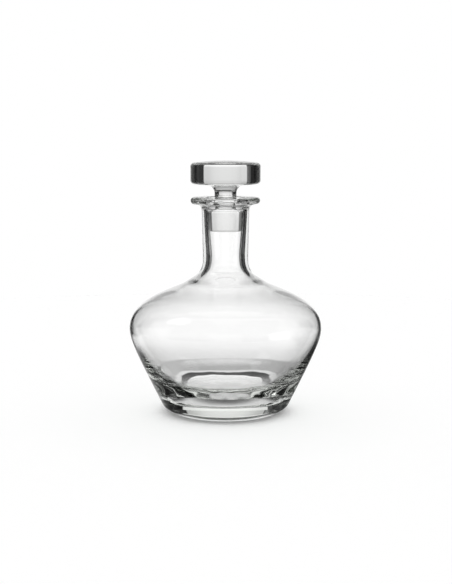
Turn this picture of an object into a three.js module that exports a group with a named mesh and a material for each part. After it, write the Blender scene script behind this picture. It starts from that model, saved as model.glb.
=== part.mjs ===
// Whisky decanter of clear glass with a solid glass stopper. Millimetres, +Z up.
// The origin is the centre of the flat foot, at the height of the surface that it stands on.
import * as THREE from 'three';

// Body, outside: the foot, the heel that rounds into the wall, and the belly
const footRadius = 40.8;
const heelWidth = 11.2;
const heelHeight = 5.9;
const wallSlope = 63.5;
const bellyRadius = 78.7;
const bellyHeight = 68.3;

// Body, outside: the shoulder point, where the curve turns over, and the neck
const shoulderRadius = 34.6;
const shoulderRise = 37.3;
const shoulderSlope = 27.6;
const neckRadius = 18.5;
const neckRise = 23.7;
const neckLength = 45.7;
const neckFlare = 1.4;

// Lip: a flat ring with a fully rounded rim, filleted into the neck
const lipRadius = 28.1;
const lipThickness = 5.4;
const lipFillet = 5.4;
const mouthRounding = 1.8;

// Body, inside: wall thicknesses, the thick base, and the bowl that rises from its flat floor.
// The bank is the lower part of the bowl, which climbs from the floor to where the side steepens.
const bellyWall = 2.4;
const shoulderWall = 3.9;
const neckWall = 5.7;
const baseThickness = 13.6;
const floorRadius = 33.7;
const bankWidth = 23.1;
const bankRise = 16;
const bankSlope = 38.3;

// Bore of the neck: it widens by this much radius for each millimetre of height,
// and starts to open into the shoulder a little above the neck's own base
const boreTaper = 0.07;
const boreEndRise = 1.6;

// Stopper: the tapered plug that fits the bore
const plugDepth = 27;
const plugLength = 16.3;
const plugClearance = 0.3;
const plugRounding = 1;
const plugTopTurn = 60;
const plugShoulderHeight = 2.6;

// Stopper: the stem, and the thick round disc that the hand lifts
const stemRadius = 8.9;
const stemFillet = 6;
const discRadius = 28.4;
const discHeight = 17.3;
const discRounding = 3.2;
const discLift = 10.6;
const undersideSlope = 5.8;
const domeRise = 1.6;

// How hard each curve holds on to its two end directions before it bends to the other
const heelPulls = [0.13, 0.29];
const wallPulls = [0.618, 0.12];
const crownPulls = [0.41, 0.24];
const neckPulls = [0.567, 0.478];
const boreEndPulls = [0.62, 0.32];
const bowlPulls = [0.235, 0.14];
const bankPulls = [0.28, 0.42];

// Facets round each turned piece, and the least distance between two points of an outline
const roundSteps = 48;
const shortestStep = 0.001;

// Heights that follow from the sizes above
const shoulderHeight = bellyHeight + shoulderRise;
const neckBaseHeight = shoulderHeight + neckRise;
const mouthHeight = neckBaseHeight + neckLength;
const plugBottom = mouthHeight - plugDepth;
const plugTop = plugBottom + plugLength;
const discBottom = mouthHeight + discLift;

function radians(degrees) {
  return THREE.MathUtils.degToRad(degrees);
}

// A point of an outline: its radius from the axis and its height
function point(radius, height) {
  return new THREE.Vector2(radius, height);
}

// Angles in an outline are in degrees: 0 points away from the axis and 90 points up
function direction(angle) {
  return point(Math.cos(radians(angle)), Math.sin(radians(angle)));
}

function arc(centre, radius, startAngle, endAngle, steps) {
  const turn = (endAngle - startAngle) / steps;
  const stations = Array.from({ length: steps + 1 }, (unused, step) => startAngle + turn * step);
  return stations.map((angle) => centre.clone().addScaledVector(direction(angle), radius));
}

// A smooth stretch between two points that leaves and arrives at the given angles.
// Each pull is the length of its handle as a share of the straight distance.
function sweep(start, startAngle, end, endAngle, [startPull, endPull], steps) {
  const distance = start.distanceTo(end);
  const startHandle = start.clone().addScaledVector(direction(startAngle), distance * startPull);
  const endHandle = end.clone().addScaledVector(direction(endAngle), -distance * endPull);
  return new THREE.CubicBezierCurve(start, startHandle, endHandle, end).getPoints(steps);
}

function boreRadius(height) {
  return neckRadius - neckWall + boreTaper * (height - neckBaseHeight);
}

function outerNeckRadius(height) {
  return neckRadius + Math.tan(radians(neckFlare)) * (height - neckBaseHeight);
}

// Turns an outline, drawn from the axis round to the axis again, into a closed solid
function turned(outline) {
  const corners = outline.filter((corner, index) => {
    return index === 0 || corner.distanceTo(outline[index - 1]) > shortestStep;
  });
  const geometry = new THREE.LatheGeometry(corners, roundSteps);
  geometry.rotateX(Math.PI / 2);
  return geometry;
}

// From the centre of the foot up the outside to the base of the neck
function bodyOutside() {
  const footEdge = point(footRadius, 0);
  const heelTop = point(footRadius + heelWidth, heelHeight);
  const belly = point(bellyRadius, bellyHeight);
  const shoulder = point(shoulderRadius, shoulderHeight);
  const neckBase = point(neckRadius, neckBaseHeight);
  return [
    point(0, 0),
    ...sweep(footEdge, 0, heelTop, wallSlope, heelPulls, 4),
    ...sweep(heelTop, wallSlope, belly, 90, wallPulls, 8),
    ...sweep(belly, 90, shoulder, 180 - shoulderSlope, crownPulls, 9),
    ...sweep(shoulder, 180 - shoulderSlope, neckBase, 90 - neckFlare, neckPulls, 5),
  ];
}

// Round the lip, from the neck under it to its mouth
function lip() {
  const underside = mouthHeight - lipThickness;
  const filletHeight = underside - lipFillet;
  const filletCentre = point(outerNeckRadius(filletHeight) + lipFillet, filletHeight);
  const rimRadius = lipThickness / 2;
  const rimCentre = point(lipRadius - rimRadius, underside + rimRadius);
  const mouthEdge = mouthHeight - mouthRounding;
  const mouthCentre = point(boreRadius(mouthEdge) + mouthRounding, mouthEdge);
  return [
    ...arc(filletCentre, lipFillet, 180, 90, 3),
    ...arc(rimCentre, rimRadius, -90, 90, 7),
    ...arc(mouthCentre, mouthRounding, 90, 180, 2),
  ];
}

// Down the bore and the inside of the body to the centre of the floor
function bodyInside() {
  const boreAngle = 90 - THREE.MathUtils.radToDeg(Math.atan(boreTaper));
  const boreEndHeight = neckBaseHeight + boreEndRise;
  const boreEnd = point(boreRadius(boreEndHeight), boreEndHeight);
  const shoulderInward = direction(90 - shoulderSlope).multiplyScalar(-shoulderWall);
  const shoulder = point(shoulderRadius, shoulderHeight).add(shoulderInward);
  const belly = point(bellyRadius - bellyWall, bellyHeight);
  const bankTop = point(floorRadius + bankWidth, baseThickness + bankRise);
  const floorEdge = point(floorRadius, baseThickness);
  const crownDownPulls = [...crownPulls].reverse();
  return [
    ...sweep(boreEnd, boreAngle - 180, shoulder, -shoulderSlope, boreEndPulls, 6),
    ...sweep(shoulder, -shoulderSlope, belly, -90, crownDownPulls, 9),
    ...sweep(belly, -90, bankTop, bankSlope - 180, bowlPulls, 8),
    ...sweep(bankTop, bankSlope - 180, floorEdge, 180, bankPulls, 6),
    point(0, baseThickness),
  ];
}

function bodyGeometry() {
  return turned([...bodyOutside(), ...lip(), ...bodyInside()]);
}

// The plug, which keeps its clearance to the bore all the way up
function plug() {
  const sideLean = THREE.MathUtils.radToDeg(Math.atan(boreTaper));
  const bottomRadius = boreRadius(plugBottom) - plugClearance;
  const topRadius = boreRadius(plugTop) - plugClearance;
  const bottomCentre = point(bottomRadius - plugRounding, plugBottom + plugRounding);
  const topCentre = point(topRadius - plugRounding, plugTop - plugRounding);
  return [
    point(0, plugBottom),
    ...arc(bottomCentre, plugRounding, -90, -sideLean, 2),
    ...arc(topCentre, plugRounding, -sideLean, plugTopTurn, 2),
    point(stemRadius, plugTop + plugShoulderHeight),
  ];
}

// The stem's fillet, the sloped underside, and the disc with its softly domed top
function disc() {
  const topHeight = discBottom + discHeight;
  const cornerRadius = discRadius - discRounding;
  const lowCorner = point(cornerRadius, discBottom + discRounding);
  const highCorner = point(cornerRadius, topHeight - discRounding);
  const slopeStart = arc(lowCorner, discRounding, undersideSlope - 90, 0, 4);
  const fall = (slopeStart[0].x - stemRadius) * Math.tan(radians(undersideSlope));
  const meetingHeight = slopeStart[0].y - fall;
  const filletSpan = stemFillet / Math.tan(radians(90 + undersideSlope) / 2);
  const filletCentre = point(stemRadius + stemFillet, meetingHeight - filletSpan);
  const domeRadius = (cornerRadius ** 2 + domeRise ** 2) / (2 * domeRise);
  const domeLean = THREE.MathUtils.radToDeg(Math.asin(cornerRadius / domeRadius));
  const domeCentre = point(0, topHeight + domeRise - domeRadius);
  return [
    ...arc(filletCentre, stemFillet, 180, 90 + undersideSlope, 4),
    ...slopeStart,
    ...arc(highCorner, discRounding, 0, 90, 4),
    ...arc(domeCentre, domeRadius, 90 - domeLean, 90, 3),
  ];
}

function stopperGeometry() {
  return turned([...plug(), ...disc()]);
}

function clearGlass() {
  return new THREE.MeshStandardMaterial({ color: 0xe6ecea, roughness: 0.03, metalness: 0 });
}

function namedPiece(name, geometry) {
  const piece = new THREE.Mesh(geometry, clearGlass());
  piece.name = name;
  return piece;
}

const decanter = new THREE.Group();
decanter.add(namedPiece('decanter_body', bodyGeometry()));
decanter.add(namedPiece('glass_stopper', stopperGeometry()));

export default decanter;
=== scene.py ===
# Whisky decanter of clear glass with a disc-topped stopper, on a white floor in soft studio light.
import math
import bpy
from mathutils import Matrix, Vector, noise


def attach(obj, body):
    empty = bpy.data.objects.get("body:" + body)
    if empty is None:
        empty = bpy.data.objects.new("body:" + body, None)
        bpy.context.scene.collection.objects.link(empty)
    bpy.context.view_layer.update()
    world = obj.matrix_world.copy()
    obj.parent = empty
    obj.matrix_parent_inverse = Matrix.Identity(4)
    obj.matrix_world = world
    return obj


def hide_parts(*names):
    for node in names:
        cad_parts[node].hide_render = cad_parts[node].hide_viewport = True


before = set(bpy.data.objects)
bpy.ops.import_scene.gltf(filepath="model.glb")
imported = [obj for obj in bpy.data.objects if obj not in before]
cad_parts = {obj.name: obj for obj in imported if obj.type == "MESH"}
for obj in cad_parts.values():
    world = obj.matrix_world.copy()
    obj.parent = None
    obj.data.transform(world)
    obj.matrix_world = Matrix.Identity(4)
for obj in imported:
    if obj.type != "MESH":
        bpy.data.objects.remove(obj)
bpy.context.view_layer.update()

# The outlines are drawn in millimetres, and the scene is in metres
MILLIMETRE = 0.001

# Sizes of the body, outside: foot, heel, wall and belly
FOOT_RADIUS = 40.8
HEEL_WIDTH = 11.2
HEEL_HEIGHT = 5.9
WALL_SLOPE = 63.5
BELLY_RADIUS = 78.7
BELLY_HEIGHT = 68.3

# Shoulder and neck
SHOULDER_RADIUS = 34.6
SHOULDER_RISE = 37.3
SHOULDER_SLOPE = 27.6
NECK_RADIUS = 18.5
NECK_RISE = 23.7
NECK_LENGTH = 45.7
NECK_FLARE = 1.4

# Lip and mouth
LIP_RADIUS = 28.1
LIP_THICKNESS = 5.4
LIP_FILLET = 5.4
MOUTH_ROUNDING = 1.8

# Inside of the body
BELLY_WALL = 2.4
SHOULDER_WALL = 3.9
NECK_WALL = 5.7
BASE_THICKNESS = 13.6
FLOOR_RADIUS = 33.7
BANK_WIDTH = 23.1
BANK_RISE = 16
BANK_SLOPE = 38.3
BORE_TAPER = 0.07
BORE_END_RISE = 1.6

# Stopper: plug, stem and disc
PLUG_DEPTH = 27
PLUG_LENGTH = 16.3
PLUG_CLEARANCE = 0.3
PLUG_ROUNDING = 1
PLUG_TOP_TURN = 60
PLUG_SHOULDER_HEIGHT = 2.6
STEM_RADIUS = 8.9
STEM_FILLET = 6
DISC_RADIUS = 28.4
DISC_HEIGHT = 17.3
DISC_ROUNDING = 3.2
DISC_LIFT = 10.6
UNDERSIDE_SLOPE = 5.8
DOME_RISE = 1.6

# How hard each curve holds on to its two end directions before it bends to the other
HEEL_PULLS = (0.13, 0.29)
WALL_PULLS = (0.618, 0.12)
CROWN_PULLS = (0.41, 0.24)
NECK_PULLS = (0.567, 0.478)
BORE_END_PULLS = (0.62, 0.32)
BOWL_PULLS = (0.235, 0.14)
BANK_PULLS = (0.28, 0.42)

# Steps along each stretch of the outlines and round each piece, fine enough for smooth refraction,
# and the least distance between two points of an outline
FOOT_STEPS = 4
HEEL_STEPS = 20
WALL_STEPS = 44
CROWN_STEPS = 48
NECK_STEPS = 24
LIP_FILLET_STEPS = 12
RIM_STEPS = 28
MOUTH_STEPS = 8
BORE_END_STEPS = 28
BOWL_STEPS = 56
BANK_STEPS = 40
FLOOR_STEPS = 24
PLUG_EDGE_STEPS = 8
DISC_EDGE_STEPS = 14
DOME_STEPS = 16
ROUND_STEPS = 288
SHORTEST_STEP = 0.001

# Heights and a radius that follow from the sizes above
SHOULDER_HEIGHT = BELLY_HEIGHT + SHOULDER_RISE
NECK_BASE_HEIGHT = SHOULDER_HEIGHT + NECK_RISE
MOUTH_HEIGHT = NECK_BASE_HEIGHT + NECK_LENGTH
PLUG_BOTTOM = MOUTH_HEIGHT - PLUG_DEPTH
PLUG_TOP = PLUG_BOTTOM + PLUG_LENGTH
DISC_BOTTOM = MOUTH_HEIGHT + DISC_LIFT
MOUTH_RADIUS = NECK_RADIUS - NECK_WALL + BORE_TAPER * NECK_LENGTH

# The inside of the thick lower glass is slightly wavy, as in glass that was shaped hot. The waves
# fade out at their top heights and towards the flat floor.
WAVE_DEPTH = 0.35
WAVE_LENGTH_ROUND = 26
WAVE_LENGTH_UPWARDS = 13
WAVE_TOP = 62
WAVE_FLOOR_FADE = 3
FINE_WAVE_DEPTH = 0.12
FINE_WAVES_IN_A_WAVE = 3
FINE_WAVE_TOP = 48
FINE_WAVE_FADE = 15

# The lip was melted smooth by fire, which leaves it finely uneven, half as much in its height.
# The turn, in radians, makes the unevenness in height a different one.
LIP_WAVE_DEPTH = 0.6
LIP_WAVE_LENGTH = 6
LIP_WAVE_FADE = 2
LIP_WAVE_HEIGHT_SHARE = 0.5
LIP_WAVE_TURN = 1

# The colour of the floor, the world's light and the glass itself, before its tint
WHITE = (1, 1, 1, 1)

# Glass: how it bends light, its tint, and how densely each piece takes light up, per metre
REFRACTIVE_INDEX = 1.52
GLASS_TINT = (0.85, 0.87, 0.84, 1)
BODY_DARKENING = 9
STOPPER_DARKENING = 5

# The polish of the glass varies a little from place to place
POLISH_SCALE = 40
POLISH_DETAIL = 3
POLISH_RANGE = (0.35, 0.75)
MOST_ROUGHNESS = 0.02

# The decanter's shadow: the tint of light that passes the glass, and the part of the heel that
# lets none through straight, in metres above the floor
SHADOW_TINT = (0.975, 0.98, 0.977, 1)
HEEL_SHADE_START = 0.0006
HEEL_SHADE_TOP = 0.014

# Camera: where it stands, how far it looks down, and its focal length in pixels of the photograph
CAMERA_ASIDE = 0.0004
CAMERA_DISTANCE = 0.9938
CAMERA_HEIGHT = 0.225
CAMERA_PITCH = 7.3
FOCAL_PIXELS = 1226
FRAME_HEIGHT = 584
SENSOR_SIZE = 36

# Studio, in metres: a round white floor just under the foot, and a narrow white panel behind the
# decanter. Here and below, the two values of a fade say where it starts and where it ends.
FLOOR_SPREAD = 0.75
FLOOR_CORNERS = 96
FLOOR_GAP = 0.0002
PANEL_DISTANCE = 0.43
PANEL_LEFT = -0.2
PANEL_RIGHT = 0.203
PANEL_HEIGHT = 0.65
PANEL_EDGE = 0.007

# The panel's brightness in the glass, and how much of it is lost upwards and to the sides
PANEL_LEVEL = 1.13
PANEL_LOW_FADE = (0.08, 0.2)
PANEL_LOW_LOSS = 0.35
PANEL_HIGH_FADE = (0.18, 0.5)
PANEL_HIGH_LOSS = 0.5
PANEL_SIDE_FADE = (0.06, 0.16)
PANEL_SIDE_LOSS = 0.15

# The strip of the floor painted lit for the glass widens towards the panel; off it the glass sees
# painted unlit floor
STRIP_LEFT = -0.075
STRIP_LEFT_SPREAD = 0.28
STRIP_RIGHT = 0.05
STRIP_RIGHT_SPREAD = 0.38
STRIP_SOFTNESS = 0.03
STRIP_FRONT_FADE = (-0.03, 0.03)
# Painted shade: how dark the unlit floor off the strip looks to the glass
UNLIT_FLOOR_LEVEL = 0.04

# Along the strip: a painted soft shade that is weaker on the left and ends behind the decanter, the
# level just past it, and a painted slow rise of light to the panel's own brightness
SHADE_LEVEL = 0.5
SHADE_END = 0.128
SHADE_FADE = (0.75 * SHADE_END, SHADE_END)
SHADE_LEFT_GAIN = 0.22
SHADE_LEFT_FADE = (-0.065, -0.03)
NEAR_LEVEL = 0.86
STRIP_RISE_END = 0.33

# Beside and in front of the decanter the floor is painted light again, but for two sectors painted
# dark as shade (bearings in degrees from the panel) that draw the dark outlines of the glass
AROUND_LEVEL = 0.7
AROUND_FADE = (0.11, 0.2)
BEHIND_SECTOR = (-40, 50)
BEHIND_SECTOR_EDGE = 5
LEFT_DARK_SECTOR = (-66, -24)
LEFT_DARK_FADE = (0.25, 0.4)
RIGHT_DARK_SECTOR = (24, 100)
RIGHT_DARK_FADE = (0.1, 0.16)
DARK_SECTOR_EDGE = 3

# The floor close to the decanter, painted for the glass: painted light under the foot, a painted
# shadow ring where the heel shades it, and a thin painted light ring round that. Inside and outside
# are shares of the ring's half width and half length, and the ring is open in front.
UNDER_FOOT_LEVEL = 0.72
UNDER_FOOT_GAIN = 0.36
UNDER_FOOT_GAIN_FADE = (0, 0.042)
UNDER_FOOT_FRONT_SHARE = 0.2
UNDER_FOOT_FRONT_FADE = (-0.048, -0.03)
RING_HALF_WIDTH = 0.0385
RING_HALF_LENGTH = 0.060
RING_SQUARENESS = 4
RING_INSIDE = 0.87
RING_OUTSIDE = 1.12
RING_EDGE = 0.03
RING_FRONT_FADE = (-0.02, 0.03)
RING_LEVEL = 0.1
LIGHT_RING_OUTSIDE = 1.28
LIGHT_RING_EDGE = 0.04
LIGHT_RING_LEVEL = 0.85

# Light on the floor: how much more of it comes from behind, and how much less from in front
BACK_LIGHT = 0.8

# The studio round the glass, as the glass sees it. Bearings in degrees run from the panel, to the
# left as negative values, and heights are in degrees above the floor.
STUDIO_DARK_LEVEL = 0.004
FRONT_FADE = (95, 125)
FRONT_LEVEL = 0.12
FRONT_HIGH_FADE = (8, 35)
FRONT_HIGH_LOSS = 0.06
OVER_PANEL = (-60, 45)
OVER_PANEL_EDGE = 12
OVER_PANEL_FADE = (20, 40)
OVER_PANEL_LEVEL = 0.06
PANEL_GLOW = (-34, -26)
PANEL_GLOW_EDGE = 1
PANEL_GLOW_LEVEL = 0.1

# Grey screens on both sides and in front. The front one starts at its bearing on both sides, and
# all of them keep a tenth of their brightness above their tops.
LEFT_SCREEN = (-108, -72)
RIGHT_SCREEN = (74, 106)
RIGHT_SCREEN_SHARE = 0.4
SIDE_SCREEN_TOP_FADE = (20, 45)
FRONT_SCREEN = 160
FRONT_SCREEN_TOP_FADE = (12, 35)
SCREEN_TOP_LOSS = 0.9
SCREEN_EDGE = 4
SCREEN_LEVEL = 0.52

# Two soft windows, as two bearings and two heights, that shine on the left and right of the belly
LEFT_WINDOW = (-108, -80, 45, 61)
RIGHT_WINDOW = (99, 127, -12, 16)
WINDOW_SIDE_EDGE = 4
WINDOW_TOP_EDGE = 2
WINDOW_LEVEL = 1.5

# How often light may turn on its way through the thick glass and between matt surfaces
GLASS_BOUNCES = 40
GLOSSY_BOUNCES = 24
MATT_BOUNCES = 3


def point(radius, height):
    """A point of an outline: its radius from the axis and its height."""
    return Vector((radius, height))


def direction(angle):
    """A unit step in an outline: 0 degrees points away from the axis and 90 points up."""
    return Vector((math.cos(math.radians(angle)), math.sin(math.radians(angle))))


def arc(centre, radius, start_angle, end_angle, steps):
    turn = (end_angle - start_angle) / steps
    return [centre + direction(start_angle + turn * step) * radius for step in range(steps + 1)]


def sweep(start, start_angle, end, end_angle, pulls, steps):
    """A cubic curve that leaves and arrives at the given angles; pulls are shares of the distance."""
    start_pull, end_pull = pulls
    distance = (end - start).length
    start_handle = start + direction(start_angle) * distance * start_pull
    end_handle = end - direction(end_angle) * distance * end_pull
    points = []
    for step in range(steps + 1):
        share = step / steps
        rest = 1 - share
        near = start * rest ** 3 + start_handle * 3 * rest ** 2 * share
        far = end_handle * 3 * rest * share ** 2 + end * share ** 3
        points.append(near + far)
    return points


def straight(start, end, steps):
    return [start.lerp(end, step / steps) for step in range(steps + 1)]


def distinct(outline):
    """The outline without points that repeat the one before."""
    kept = outline[:1]
    for corner in outline[1:]:
        if (corner - kept[-1]).length > SHORTEST_STEP:
            kept.append(corner)
    return kept


def bore_radius(height):
    return NECK_RADIUS - NECK_WALL + BORE_TAPER * (height - NECK_BASE_HEIGHT)


def outer_neck_radius(height):
    return NECK_RADIUS + math.tan(math.radians(NECK_FLARE)) * (height - NECK_BASE_HEIGHT)


def body_outside():
    """From the centre of the foot up the outside to the base of the neck."""
    foot_edge = point(FOOT_RADIUS, 0)
    heel_top = point(FOOT_RADIUS + HEEL_WIDTH, HEEL_HEIGHT)
    belly = point(BELLY_RADIUS, BELLY_HEIGHT)
    shoulder = point(SHOULDER_RADIUS, SHOULDER_HEIGHT)
    neck_base = point(NECK_RADIUS, NECK_BASE_HEIGHT)
    return [
        *straight(point(0, 0), foot_edge, FOOT_STEPS),
        *sweep(foot_edge, 0, heel_top, WALL_SLOPE, HEEL_PULLS, HEEL_STEPS),
        *sweep(heel_top, WALL_SLOPE, belly, 90, WALL_PULLS, WALL_STEPS),
        *sweep(belly, 90, shoulder, 180 - SHOULDER_SLOPE, CROWN_PULLS, CROWN_STEPS),
        *sweep(shoulder, 180 - SHOULDER_SLOPE, neck_base, 90 - NECK_FLARE, NECK_PULLS, NECK_STEPS),
    ]


def lip():
    """Round the lip, from the neck under it to its mouth."""
    underside = MOUTH_HEIGHT - LIP_THICKNESS
    fillet_height = underside - LIP_FILLET
    fillet_centre = point(outer_neck_radius(fillet_height) + LIP_FILLET, fillet_height)
    rim_radius = LIP_THICKNESS / 2
    rim_centre = point(LIP_RADIUS - rim_radius, underside + rim_radius)
    mouth_edge = MOUTH_HEIGHT - MOUTH_ROUNDING
    mouth_centre = point(bore_radius(mouth_edge) + MOUTH_ROUNDING, mouth_edge)
    return [
        *arc(fillet_centre, LIP_FILLET, 180, 90, LIP_FILLET_STEPS),
        *arc(rim_centre, rim_radius, -90, 90, RIM_STEPS),
        *arc(mouth_centre, MOUTH_ROUNDING, 90, 180, MOUTH_STEPS),
    ]


def body_inside():
    """Down the bore and the inside of the body to the centre of the floor."""
    bore_angle = 90 - math.degrees(math.atan(BORE_TAPER))
    bore_end_height = NECK_BASE_HEIGHT + BORE_END_RISE
    bore_end = point(bore_radius(bore_end_height), bore_end_height)
    shoulder = point(SHOULDER_RADIUS, SHOULDER_HEIGHT) - direction(90 - SHOULDER_SLOPE) * SHOULDER_WALL
    belly = point(BELLY_RADIUS - BELLY_WALL, BELLY_HEIGHT)
    bank_top = point(FLOOR_RADIUS + BANK_WIDTH, BASE_THICKNESS + BANK_RISE)
    floor_edge = point(FLOOR_RADIUS, BASE_THICKNESS)
    return [
        *sweep(bore_end, bore_angle - 180, shoulder, -SHOULDER_SLOPE, BORE_END_PULLS, BORE_END_STEPS),
        *sweep(shoulder, -SHOULDER_SLOPE, belly, -90, CROWN_PULLS[::-1], CROWN_STEPS),
        *sweep(belly, -90, bank_top, BANK_SLOPE - 180, BOWL_PULLS, BOWL_STEPS),
        *sweep(bank_top, BANK_SLOPE - 180, floor_edge, 180, BANK_PULLS, BANK_STEPS),
        *straight(floor_edge, point(0, BASE_THICKNESS), FLOOR_STEPS),
    ]


def plug():
    """The plug, which keeps its clearance to the bore all the way up."""
    side_lean = math.degrees(math.atan(BORE_TAPER))
    bottom_radius = bore_radius(PLUG_BOTTOM) - PLUG_CLEARANCE
    top_radius = bore_radius(PLUG_TOP) - PLUG_CLEARANCE
    bottom_centre = point(bottom_radius - PLUG_ROUNDING, PLUG_BOTTOM + PLUG_ROUNDING)
    top_centre = point(top_radius - PLUG_ROUNDING, PLUG_TOP - PLUG_ROUNDING)
    return [
        point(0, PLUG_BOTTOM),
        *arc(bottom_centre, PLUG_ROUNDING, -90, -side_lean, PLUG_EDGE_STEPS),
        *arc(top_centre, PLUG_ROUNDING, -side_lean, PLUG_TOP_TURN, PLUG_EDGE_STEPS),
        point(STEM_RADIUS, PLUG_TOP + PLUG_SHOULDER_HEIGHT),
    ]


def disc():
    """The stem's fillet, the sloped underside, and the disc with its softly domed top."""
    top_height = DISC_BOTTOM + DISC_HEIGHT
    corner_radius = DISC_RADIUS - DISC_ROUNDING
    low_corner = point(corner_radius, DISC_BOTTOM + DISC_ROUNDING)
    high_corner = point(corner_radius, top_height - DISC_ROUNDING)
    slope_start = arc(low_corner, DISC_ROUNDING, UNDERSIDE_SLOPE - 90, 0, DISC_EDGE_STEPS)
    fall = (slope_start[0].x - STEM_RADIUS) * math.tan(math.radians(UNDERSIDE_SLOPE))
    meeting_height = slope_start[0].y - fall
    fillet_span = STEM_FILLET / math.tan(math.radians(90 + UNDERSIDE_SLOPE) / 2)
    fillet_centre = point(STEM_RADIUS + STEM_FILLET, meeting_height - fillet_span)
    dome_radius = (corner_radius ** 2 + DOME_RISE ** 2) / (2 * DOME_RISE)
    dome_lean = math.degrees(math.asin(corner_radius / dome_radius))
    dome_centre = point(0, top_height + DOME_RISE - dome_radius)
    return [
        *arc(fillet_centre, STEM_FILLET, 180, 90 + UNDERSIDE_SLOPE, DISC_EDGE_STEPS),
        *slope_start,
        *arc(high_corner, DISC_ROUNDING, 0, 90, DISC_EDGE_STEPS),
        *arc(dome_centre, dome_radius, 90 - dome_lean, 90, DOME_STEPS),
    ]


def smooth_step(share):
    share = min(max(share, 0), 1)
    return share * share * (3 - 2 * share)


def noise_place(angle, radius, height):
    """Where the noise is read: on a cylinder, so that the waves meet all the way round."""
    return Vector((math.cos(angle) * radius, math.sin(angle) * radius, height))


def inner_wave(angle, height):
    """How far the wavy inside of the bowl stands off its true outline, in millimetres."""
    place = noise_place(angle, BELLY_RADIUS / WAVE_LENGTH_ROUND, height / WAVE_LENGTH_UPWARDS)
    fade = smooth_step((WAVE_TOP - height) / (WAVE_TOP - BASE_THICKNESS))
    fine_fade = smooth_step((FINE_WAVE_TOP - height) / FINE_WAVE_FADE)
    wave = WAVE_DEPTH * fade * noise.noise(place)
    return wave + FINE_WAVE_DEPTH * fine_fade * noise.noise(place * FINE_WAVES_IN_A_WAVE)


def lip_wave(angle, height):
    """How far the fire-polished lip stands off its true outline, in millimetres."""
    fade_end = MOUTH_HEIGHT - LIP_THICKNESS
    fade = smooth_step((height - (fade_end - LIP_WAVE_FADE)) / LIP_WAVE_FADE)
    place = noise_place(angle, LIP_RADIUS / LIP_WAVE_LENGTH, height / LIP_WAVE_LENGTH)
    return LIP_WAVE_DEPTH * fade * noise.noise(place)


def uneven_point(corner, angle, is_inside):
    """Radius and height of a point of the body at an angle round the axis, with its unevenness."""
    on_lip = smooth_step((corner.x - MOUTH_RADIUS) / LIP_WAVE_FADE)
    radius = corner.x + lip_wave(angle, corner.y) * on_lip
    height = corner.y + lip_wave(angle + LIP_WAVE_TURN, corner.y) * on_lip * LIP_WAVE_HEIGHT_SHARE
    if is_inside:
        above_floor = smooth_step((height - BASE_THICKNESS) / WAVE_FLOOR_FADE)
        radius += inner_wave(angle, height) * above_floor
    return radius, height


def turned_faces(rings):
    """Faces between the rings of a turned mesh, closed at each end by a point on the axis."""
    top = 1 + (rings - 1) * ROUND_STEPS
    last = top + ROUND_STEPS
    faces = []
    for step in range(ROUND_STEPS):
        after = (step + 1) % ROUND_STEPS
        faces.append((0, 1 + after, 1 + step))
        for ring in range(rings - 1):
            low = 1 + ring * ROUND_STEPS
            high = low + ROUND_STEPS
            faces.append((low + step, low + after, high + after, high + step))
        faces.append((top + step, top + after, last))
    return faces


def turned_piece(name, outline, inside_from=None):
    """Turns an outline, drawn from the axis round to the axis again, into a smooth closed piece.

    With inside_from the outline is the uneven body's, and its points from there on are the inside.
    """
    corners = outline[1:-1]
    verts = [(0, 0, outline[0].y * MILLIMETRE)]
    for index, corner in enumerate(corners, start=1):
        for step in range(ROUND_STEPS):
            angle = 2 * math.pi * step / ROUND_STEPS
            radius, height = corner
            if inside_from is not None:
                radius, height = uneven_point(corner, angle, index >= inside_from)
            verts.append((
                radius * math.cos(angle) * MILLIMETRE,
                radius * math.sin(angle) * MILLIMETRE,
                height * MILLIMETRE,
            ))
    verts.append((0, 0, outline[-1].y * MILLIMETRE))
    mesh = bpy.data.meshes.new(name)
    mesh.from_pydata(verts, [], turned_faces(len(corners)))
    mesh.validate()
    mesh.polygons.foreach_set("use_smooth", [True] * len(mesh.polygons))
    piece = bpy.data.objects.new(name, mesh)
    bpy.context.scene.collection.objects.link(piece)
    return piece


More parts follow.
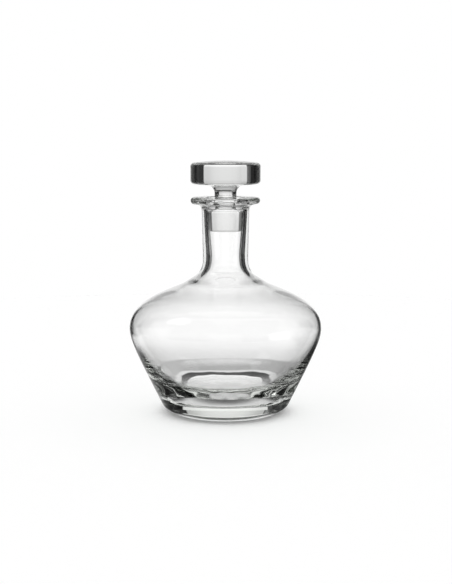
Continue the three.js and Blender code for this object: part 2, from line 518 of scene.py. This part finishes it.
class Nodes:
    """Short calls that add linked nodes to one node tree."""

    def __init__(self, tree):
        self.tree = tree

    def add(self, kind, **settings):
        node = self.tree.nodes.new(kind)
        for name, value in settings.items():
            setattr(node, name, value)
        return node

    def feed(self, node, socket, value):
        """Sets a socket to a number, or links another node's output to it."""
        if isinstance(value, (int, float)):
            node.inputs[socket].default_value = value
        else:
            self.tree.links.new(value, node.inputs[socket])

    def math(self, operation, first, second=0.0):
        node = self.add("ShaderNodeMath", operation=operation)
        self.feed(node, 0, first)
        self.feed(node, 1, second)
        return node.outputs[0]

    def plus(self, first, second):
        return self.math("ADD", first, second)

    def minus(self, first, second):
        return self.math("SUBTRACT", first, second)

    def times(self, first, second):
        return self.math("MULTIPLY", first, second)

    def larger(self, first, second):
        return self.math("MAXIMUM", first, second)

    def without_sign(self, value):
        return self.math("ABSOLUTE", value)

    def power(self, value, exponent):
        return self.math("POWER", value, exponent)

    def rest(self, share):
        """What a share leaves of 1."""
        return self.minus(1.0, share)

    def blend(self, share, first, second):
        """first where share is 0, second where it is 1."""
        return self.plus(self.times(self.rest(share), first), self.times(share, second))

    def length(self, across, along):
        return self.math("SQRT", self.plus(self.times(across, across), self.times(along, along)))

    def bearing(self, across, along):
        """Degrees from the direction of the panel, negative to the left."""
        return self.math("DEGREES", self.math("ARCTAN2", across, along))

    def rise(self, value, low, high, kind="SMOOTHSTEP"):
        """0 below low and 1 above high."""
        node = self.add("ShaderNodeMapRange", interpolation_type=kind)
        self.feed(node, "Value", value)
        node.inputs["From Min"].default_value = low
        node.inputs["From Max"].default_value = high
        return node.outputs["Result"]

    def band(self, value, low, high, edge):
        """1 where the value lies between low and high, with soft edges."""
        start = self.rise(value, low - edge, low + edge)
        end = self.rise(value, high - edge, high + edge)
        return self.minus(start, end)

    def ray(self, kind):
        """1 for light of the given kind, else 0."""
        return self.add("ShaderNodeLightPath").outputs[kind]

    def in_glass(self):
        """1 for what the glass shows, by reflection or straight through, else 0."""
        return self.larger(self.ray("Is Glossy Ray"), self.ray("Is Transmission Ray"))

    def place(self, kind="Object"):
        """The three parts of a place in the object, or of a direction in the world."""
        parts = self.add("ShaderNodeSeparateXYZ")
        self.feed(parts, 0, self.add("ShaderNodeTexCoord").outputs[kind])
        return parts.outputs

    def glow(self, strength):
        light = self.add("ShaderNodeEmission")
        self.feed(light, "Strength", strength)
        return light.outputs[0]

    def surface(self, share, first, second):
        """Gives the material the first shader where share is 0, and the second where it is 1."""
        mix = self.add("ShaderNodeMixShader")
        self.feed(mix, 0, share)
        self.feed(mix, 1, first)
        self.feed(mix, 2, second)
        self.feed(self.tree.nodes["Material Output"], "Surface", mix.outputs[0])


def uneven_polish(make):
    """Roughness from none to a trace, in soft spots."""
    speckle = make.add("ShaderNodeTexNoise")
    speckle.inputs["Scale"].default_value = POLISH_SCALE
    speckle.inputs["Detail"].default_value = POLISH_DETAIL
    make.feed(speckle, "Vector", make.add("ShaderNodeTexCoord").outputs["Object"])
    polish = make.add("ShaderNodeMapRange")
    polish.inputs["From Min"].default_value = POLISH_RANGE[0]
    polish.inputs["From Max"].default_value = POLISH_RANGE[1]
    polish.inputs["To Max"].default_value = MOST_ROUGHNESS
    make.feed(polish, "Value", speckle.outputs["Fac"])
    return polish.outputs["Result"]


def lets_light_straight_on(make):
    """1 for light on its way to a matt surface, and 0 for all other light and in the heel."""
    height = make.place()[2]
    under_foot = make.rest(make.rise(height, 0, HEEL_SHADE_START))
    above_heel = make.rise(height, HEEL_SHADE_START, HEEL_SHADE_TOP)
    to_matt = make.larger(make.ray("Is Shadow Ray"), make.ray("Is Diffuse Ray"))
    return make.times(to_matt, make.plus(under_foot, above_heel))


def clear_glass(name, darkening):
    """Polished clear glass: thick parts darken slightly, and the polish varies a little.

    The light that the floor gets goes straight through it, except at the heel, where the thick
    rim bends it aside and the decanter's shadow is darkest.
    """
    material = bpy.data.materials.new(name)
    material.use_nodes = True
    tree = material.node_tree
    make = Nodes(tree)
    shader = tree.nodes["Principled BSDF"]
    shader.inputs["Base Color"].default_value = WHITE
    shader.inputs["Transmission Weight"].default_value = 1
    shader.inputs["IOR"].default_value = REFRACTIVE_INDEX
    make.feed(shader, "Roughness", uneven_polish(make))
    depth = make.add("ShaderNodeVolumeAbsorption")
    depth.inputs["Color"].default_value = GLASS_TINT
    depth.inputs["Density"].default_value = darkening
    make.feed(tree.nodes["Material Output"], "Volume", depth.outputs["Volume"])
    through = make.add("ShaderNodeBsdfTransparent")
    through.inputs["Color"].default_value = SHADOW_TINT
    make.surface(lets_light_straight_on(make), shader.outputs[0], through.outputs[0])
    return material


def make_body():
    outside = distinct([*body_outside(), *lip()])
    outline = distinct([*outside, *body_inside()])
    piece = turned_piece("body_glass", outline, inside_from=len(outside))
    piece.data.materials.append(clear_glass("body_glass", BODY_DARKENING))
    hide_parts("decanter_body")
    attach(piece, "vessel")


def make_stopper():
    piece = turned_piece("stopper_glass", distinct([*plug(), *disc()]))
    piece.data.materials.append(clear_glass("stopper_glass", STOPPER_DARKENING))
    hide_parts("glass_stopper")
    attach(piece, "stopper")


def make_camera():
    data = bpy.data.cameras.new("camera")
    data.sensor_width = SENSOR_SIZE
    data.lens = SENSOR_SIZE * FOCAL_PIXELS / FRAME_HEIGHT
    camera = bpy.data.objects.new("camera", data)
    camera.location = (CAMERA_ASIDE, -CAMERA_DISTANCE, CAMERA_HEIGHT)
    camera.rotation_euler = (math.radians(90 - CAMERA_PITCH), 0, 0)
    bpy.context.scene.collection.objects.link(camera)
    bpy.context.scene.camera = camera


def stage_piece(name, verts):
    """One flat face of the studio; returns its material's node tree."""
    mesh = bpy.data.meshes.new(name)
    mesh.from_pydata(verts, [], [tuple(range(len(verts)))])
    piece = bpy.data.objects.new(name, mesh)
    bpy.context.scene.collection.objects.link(piece)
    material = bpy.data.materials.new(name)
    material.use_nodes = True
    mesh.materials.append(material)
    return material.node_tree


def ring_reach(make, across, along):
    """Distance in shares of the dark ring's own size, with the ring's squarish outline."""
    wide = make.power(make.without_sign(make.times(across, 1 / RING_HALF_WIDTH)), RING_SQUARENESS)
    deep = make.power(make.without_sign(make.times(along, 1 / RING_HALF_LENGTH)), RING_SQUARENESS)
    return make.power(make.plus(wide, deep), 1 / RING_SQUARENESS)


def strip_share(make, across, along):
    """1 on the lit strip behind the decanter, which widens towards the panel."""
    left_edge = make.plus(across, make.times(along, STRIP_LEFT_SPREAD))
    right_edge = make.minus(across, make.times(along, STRIP_RIGHT_SPREAD))
    past_left = make.rise(left_edge, STRIP_LEFT - STRIP_SOFTNESS, STRIP_LEFT + STRIP_SOFTNESS)
    past_right = make.rise(right_edge, STRIP_RIGHT - STRIP_SOFTNESS, STRIP_RIGHT + STRIP_SOFTNESS)
    return make.times(past_left, make.rest(past_right))


def strip_level(make, across, along, ring):
    """The strip from the decanter back: painted light ring, painted soft shade, and the painted slow rise
    of light to the panel.
    """
    reach = make.length(across, along)
    past_shade = make.rise(reach, *SHADE_FADE)
    near_gain = make.times(past_shade, NEAR_LEVEL - SHADE_LEVEL)
    far_gain = make.times(make.rise(reach, SHADE_END, STRIP_RISE_END, "LINEAR"), PANEL_LEVEL - NEAR_LEVEL)
    level = make.plus(SHADE_LEVEL, make.plus(near_gain, far_gain))
    on_left = make.times(make.rest(make.rise(across, *SHADE_LEFT_FADE)), make.rest(past_shade))
    level = make.plus(level, make.times(on_left, SHADE_LEFT_GAIN))
    light_ring = make.band(ring, RING_OUTSIDE, LIGHT_RING_OUTSIDE, LIGHT_RING_EDGE)
    level = make.plus(level, make.times(light_ring, LIGHT_RING_LEVEL - SHADE_LEVEL))
    return make.times(level, make.rise(along, *STRIP_FRONT_FADE))


def light_around(make, across, along):
    """The floor beside and in front of the decanter painted light, with its two sectors painted dark as
    shade.
    """
    reach = make.length(across, along)
    bearing = make.bearing(across, along)
    left_dark = make.band(bearing, *LEFT_DARK_SECTOR, DARK_SECTOR_EDGE)
    left_dark = make.times(left_dark, make.rise(reach, *LEFT_DARK_FADE))
    right_dark = make.band(bearing, *RIGHT_DARK_SECTOR, DARK_SECTOR_EDGE)
    right_dark = make.times(right_dark, make.rise(reach, *RIGHT_DARK_FADE))
    open_floor = make.rest(make.larger(left_dark, right_dark))
    not_behind = make.rest(make.band(bearing, *BEHIND_SECTOR, BEHIND_SECTOR_EDGE))
    around = make.times(make.times(open_floor, not_behind), make.rise(reach, *AROUND_FADE))
    return make.times(around, AROUND_LEVEL)


def light_under_foot(make, along):
    """Painted light on the floor under the foot: lightest at the back, with painted shade at the very
    front.
    """
    back_gain = make.times(make.rise(along, *UNDER_FOOT_GAIN_FADE), UNDER_FOOT_GAIN)
    level = make.plus(UNDER_FOOT_LEVEL, back_gain)
    past_front = make.times(make.rise(along, *UNDER_FOOT_FRONT_FADE), 1 - UNDER_FOOT_FRONT_SHARE)
    return make.times(level, make.plus(UNDER_FOOT_FRONT_SHARE, past_front))


def floor_in_glass(make, across, along):
    """How light each place of the floor glows to the glass: painted light and painted shade."""
    ring = ring_reach(make, across, along)
    strip = make.times(strip_share(make, across, along), strip_level(make, across, along, ring))
    # Painted light of the strip, painted unlit floor off it, and painted light beside the decanter
    lit = make.larger(make.larger(strip, UNLIT_FLOOR_LEVEL), light_around(make, across, along))
    beyond_foot = make.rise(ring, RING_INSIDE, RING_OUTSIDE)
    lit = make.blend(beyond_foot, light_under_foot(make, along), lit)
    # Painted shadow of the heel: a dark ring round the foot, open in front
    painted_heel_shadow = make.band(ring, RING_INSIDE, RING_OUTSIDE, RING_EDGE)
    painted_heel_shadow = make.times(painted_heel_shadow, make.rise(along, *RING_FRONT_FADE))
    return make.blend(painted_heel_shadow, lit, RING_LEVEL)


def make_floor():
    """Matt white with the decanter's shadow; the glass sees it glow as floor_in_glass paints it."""
    verts = []
    for step in range(FLOOR_CORNERS):
        angle = 2 * math.pi * step / FLOOR_CORNERS
        verts.append((FLOOR_SPREAD * math.cos(angle), FLOOR_SPREAD * math.sin(angle), -FLOOR_GAP))
    tree = stage_piece("floor", verts)
    make = Nodes(tree)
    shader = tree.nodes["Principled BSDF"]
    shader.inputs["Base Color"].default_value = WHITE
    shader.inputs["Roughness"].default_value = 1
    shader.inputs["Specular IOR Level"].default_value = 0
    across, along = make.place()[:2]
    # The glass sees a glow of painted light and painted shade, not the lit floor
    light = make.glow(floor_in_glass(make, across, along))
    make.surface(make.in_glass(), shader.outputs[0], light)


def make_panel():
    """The white panel, which only the glass shows; it fades upwards and to its sides."""
    low, high = PANEL_LEFT - PANEL_EDGE, PANEL_RIGHT + PANEL_EDGE
    verts = [
        (low, PANEL_DISTANCE, 0),
        (high, PANEL_DISTANCE, 0),
        (high, PANEL_DISTANCE, PANEL_HEIGHT),
        (low, PANEL_DISTANCE, PANEL_HEIGHT),
    ]
    tree = stage_piece("panel", verts)
    tree.nodes.remove(tree.nodes["Principled BSDF"])
    make = Nodes(tree)
    place = make.place()
    across, upwards = place[0], place[2]
    low_loss = make.times(make.rise(upwards, *PANEL_LOW_FADE), PANEL_LOW_LOSS)
    high_loss = make.times(make.rise(upwards, *PANEL_HIGH_FADE, "LINEAR"), PANEL_HIGH_LOSS)
    upright = make.minus(make.minus(PANEL_LEVEL, low_loss), high_loss)
    side_loss = make.times(make.rise(make.without_sign(across), *PANEL_SIDE_FADE), PANEL_SIDE_LOSS)
    width = make.times(make.band(across, PANEL_LEFT, PANEL_RIGHT, PANEL_EDGE), make.rest(side_loss))
    clear = make.add("ShaderNodeBsdfTransparent")
    make.surface(make.in_glass(), clear.outputs[0], make.glow(make.times(upright, width)))


def dim_studio(make, bearing, height):
    """A faint light in front, another over the panel, and a narrow glow left of the panel."""
    front_loss = make.times(make.rise(height, *FRONT_HIGH_FADE), FRONT_HIGH_LOSS)
    front = make.rise(make.without_sign(bearing), *FRONT_FADE)
    front = make.times(front, make.minus(FRONT_LEVEL, front_loss))
    over_panel = make.band(bearing, *OVER_PANEL, OVER_PANEL_EDGE)
    over_panel = make.times(over_panel, make.rise(height, *OVER_PANEL_FADE))
    over_panel = make.times(over_panel, OVER_PANEL_LEVEL)
    panel_glow = make.times(make.band(bearing, *PANEL_GLOW, PANEL_GLOW_EDGE), PANEL_GLOW_LEVEL)
    total = make.larger(make.larger(front, over_panel), panel_glow)
    return make.larger(total, STUDIO_DARK_LEVEL)


def screen_height(make, height, fade):
    """1 up to where the fade starts; at its end, what the loss at the top leaves."""
    return make.rest(make.times(make.rise(height, *fade), SCREEN_TOP_LOSS))


def grey_screens(make, bearing, height):
    """The left, right and front screens, which end softly at their tops and sides."""
    right = make.times(make.band(bearing, *RIGHT_SCREEN, SCREEN_EDGE), RIGHT_SCREEN_SHARE)
    both_sides = make.larger(make.band(bearing, *LEFT_SCREEN, SCREEN_EDGE), right)
    beside = make.times(both_sides, screen_height(make, height, SIDE_SCREEN_TOP_FADE))
    facing = make.rise(make.without_sign(bearing), FRONT_SCREEN - SCREEN_EDGE, FRONT_SCREEN + SCREEN_EDGE)
    facing = make.times(facing, screen_height(make, height, FRONT_SCREEN_TOP_FADE))
    return make.times(make.larger(beside, facing), SCREEN_LEVEL)


def make_world():
    """White to the camera, stronger from behind on matt surfaces, and a dark studio to the glass.

    The studio has grey screens at its sides and front, and two windows that shine on the belly.
    """
    world = bpy.data.worlds.new("studio")
    bpy.context.scene.world = world
    world.use_nodes = True
    tree = world.node_tree
    make = Nodes(tree)
    east, north, up = make.place("Generated")
    bearing = make.bearing(east, north)
    height = make.math("DEGREES", make.math("ARCSINE", up))
    studio = make.larger(dim_studio(make, bearing, height), grey_screens(make, bearing, height))
    for left, right, low, high in (LEFT_WINDOW, RIGHT_WINDOW):
        width = make.band(bearing, left, right, WINDOW_SIDE_EDGE)
        window = make.times(width, make.band(height, low, high, WINDOW_TOP_EDGE))
        studio = make.larger(studio, make.times(window, WINDOW_LEVEL))
    in_glass = make.in_glass()
    from_behind = make.times(make.ray("Is Diffuse Ray"), make.times(north, BACK_LIGHT))
    plain = make.plus(make.rest(in_glass), from_behind)
    background = tree.nodes["Background"]
    background.inputs["Color"].default_value = WHITE
    make.feed(background, "Strength", make.plus(plain, make.times(in_glass, studio)))


def render_settings():
    scene = bpy.context.scene
    scene.view_settings.view_transform = "Standard"
    scene.cycles.max_bounces = GLASS_BOUNCES
    scene.cycles.transmission_bounces = GLASS_BOUNCES
    scene.cycles.glossy_bounces = GLOSSY_BOUNCES
    scene.cycles.diffuse_bounces = MATT_BOUNCES


make_camera()
make_floor()
make_panel()
make_world()
render_settings()
make_body()
make_stopper()
